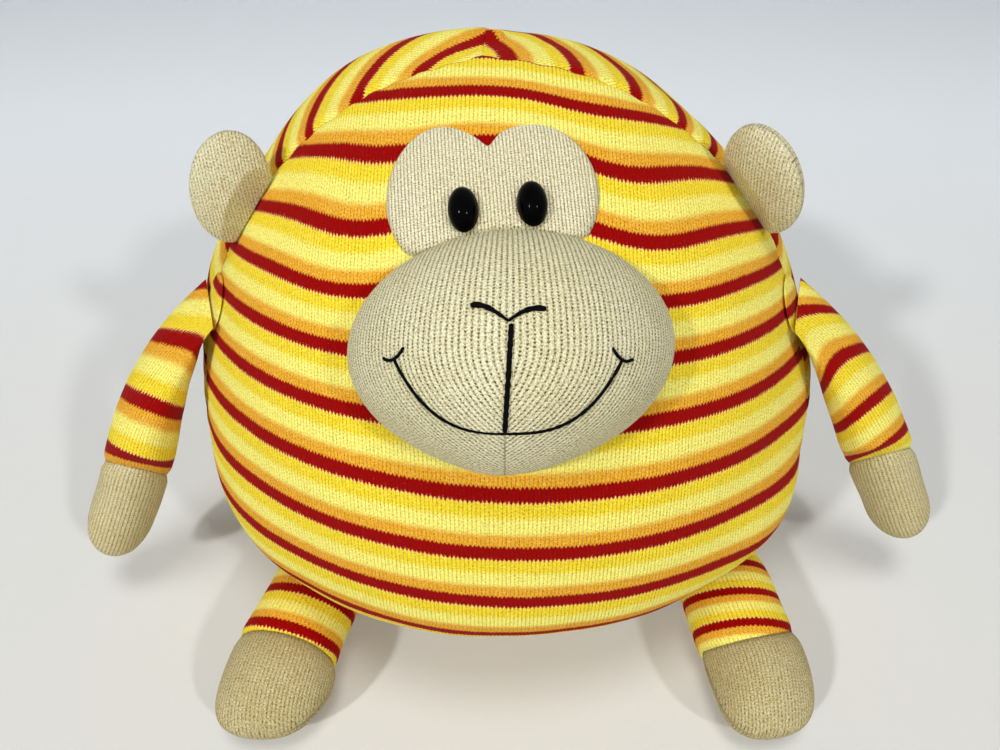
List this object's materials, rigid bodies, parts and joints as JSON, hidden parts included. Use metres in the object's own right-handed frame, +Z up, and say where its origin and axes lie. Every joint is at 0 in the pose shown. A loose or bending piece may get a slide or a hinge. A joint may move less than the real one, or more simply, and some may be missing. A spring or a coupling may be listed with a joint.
{
  "type": "plush toy monkey",
  "caption": "Ball-shaped stuffed toy monkey in striped knit with a tan muzzle, eye patch, round ears, hanging arms and short legs, soft limbs jointed at their seams.",
  "frame": {"origin": "middle of the whole toy's outline seen from above, on the surface that it sits on", "axes": "+Z up, -Y the way the face looks, +X to the viewer's right"},
  "size_m": [0.4218, 0.3112, 0.264],
  "materials": {
    "striped_knit": "striped knit, matt",
    "tan_knit": "plain knit, matt",
    "black_eye": "polished",
    "black_thread": "twisted thread, matt",
    "white_filling": "loose fibre",
    "white_nylon": "matt"
  },
  "bodies": {
    "ball": {"front_gore": "striped_knit", "left_gore": "striped_knit", "right_gore": "striped_knit", "body_filling": "white_filling", "muzzle_cover": "tan_knit", "muzzle_filling": "white_filling", "eye_patch": "tan_knit", "eye_left": "black_eye", "eye_right": "black_eye", "eye_washer_left": "white_nylon", "eye_washer_right": "white_nylon", "nose_stitching": "black_thread", "lip_stitching": "black_thread", "mouth_stitching": "black_thread", "cheek_stitching_left": "black_thread", "cheek_stitching_right": "black_thread"},
    "ear_left": {"ear_left_front": "tan_knit", "ear_left_back": "tan_knit", "ear_left_filling": "white_filling"},
    "ear_right": {"ear_right_front": "tan_knit", "ear_right_back": "tan_knit", "ear_right_filling": "white_filling"},
    "shoulder_left": {"arm_left_root_tab": "striped_knit"},
    "arm_left": {"arm_left_sleeve": "striped_knit", "hand_left": "tan_knit", "arm_left_filling": "white_filling"},
    "shoulder_right": {"arm_right_root_tab": "striped_knit"},
    "arm_right": {"arm_right_sleeve": "striped_knit", "hand_right": "tan_knit", "arm_right_filling": "white_filling"},
    "leg_left": {"leg_left_trouser": "striped_knit", "foot_left": "tan_knit", "leg_left_filling": "white_filling"},
    "leg_right": {"leg_right_trouser": "striped_knit", "foot_right": "tan_knit", "leg_right_filling": "white_filling"}
  },
  "joints": [
    {"name": "ear_left_bend", "type": "hinge", "parent": "ball", "child": "ear_left", "pos_m": [-0.1086, -0.04002, 0.20793], "axis": [-0.5667, -0.2523, -0.7844], "range_deg": [-53, 37], "stiffness_Nm_per_rad": 0.05},
    {"name": "ear_right_bend", "type": "hinge", "parent": "ball", "child": "ear_right", "pos_m": [0.09099, -0.03781, 0.21446], "axis": [0.6029, -0.2684, -0.7513], "range_deg": [-70, 20], "stiffness_Nm_per_rad": 0.05},
    {"name": "arm_left_swing", "type": "hinge", "parent": "ball", "child": "shoulder_left", "pos_m": [-0.13022, -0.04965, 0.17257], "axis": [-0.8321, -0.3705, 0.4128], "range_deg": [-45, 45]},
    {"name": "arm_left_raise", "type": "hinge", "parent": "shoulder_left", "child": "arm_left", "pos_m": [-0.13022, -0.04965, 0.17257], "axis": [-0.3473, 0.9283, 0.1331], "range_deg": [0, 80]},
    {"name": "arm_right_swing", "type": "hinge", "parent": "ball", "child": "shoulder_right", "pos_m": [0.11758, -0.04965, 0.17257], "axis": [0.8321, -0.3705, 0.4128], "range_deg": [-45, 45]},
    {"name": "arm_right_raise", "type": "hinge", "parent": "shoulder_right", "child": "arm_right", "pos_m": [0.11758, -0.04965, 0.17257], "axis": [-0.3099, -0.9278, -0.208], "range_deg": [0, 80]},
    {"name": "leg_left_lift", "type": "hinge", "parent": "ball", "child": "leg_left", "pos_m": [-0.10772, -0.03963, 0.01815], "axis": [-1, 0.0087, 0], "range_deg": [-75, 0]},
    {"name": "leg_right_lift", "type": "hinge", "parent": "ball", "child": "leg_right", "pos_m": [0.09508, -0.03963, 0.01815], "axis": [-0.9863, -0.165, 0], "range_deg": [-75, 0]}
  ]
}
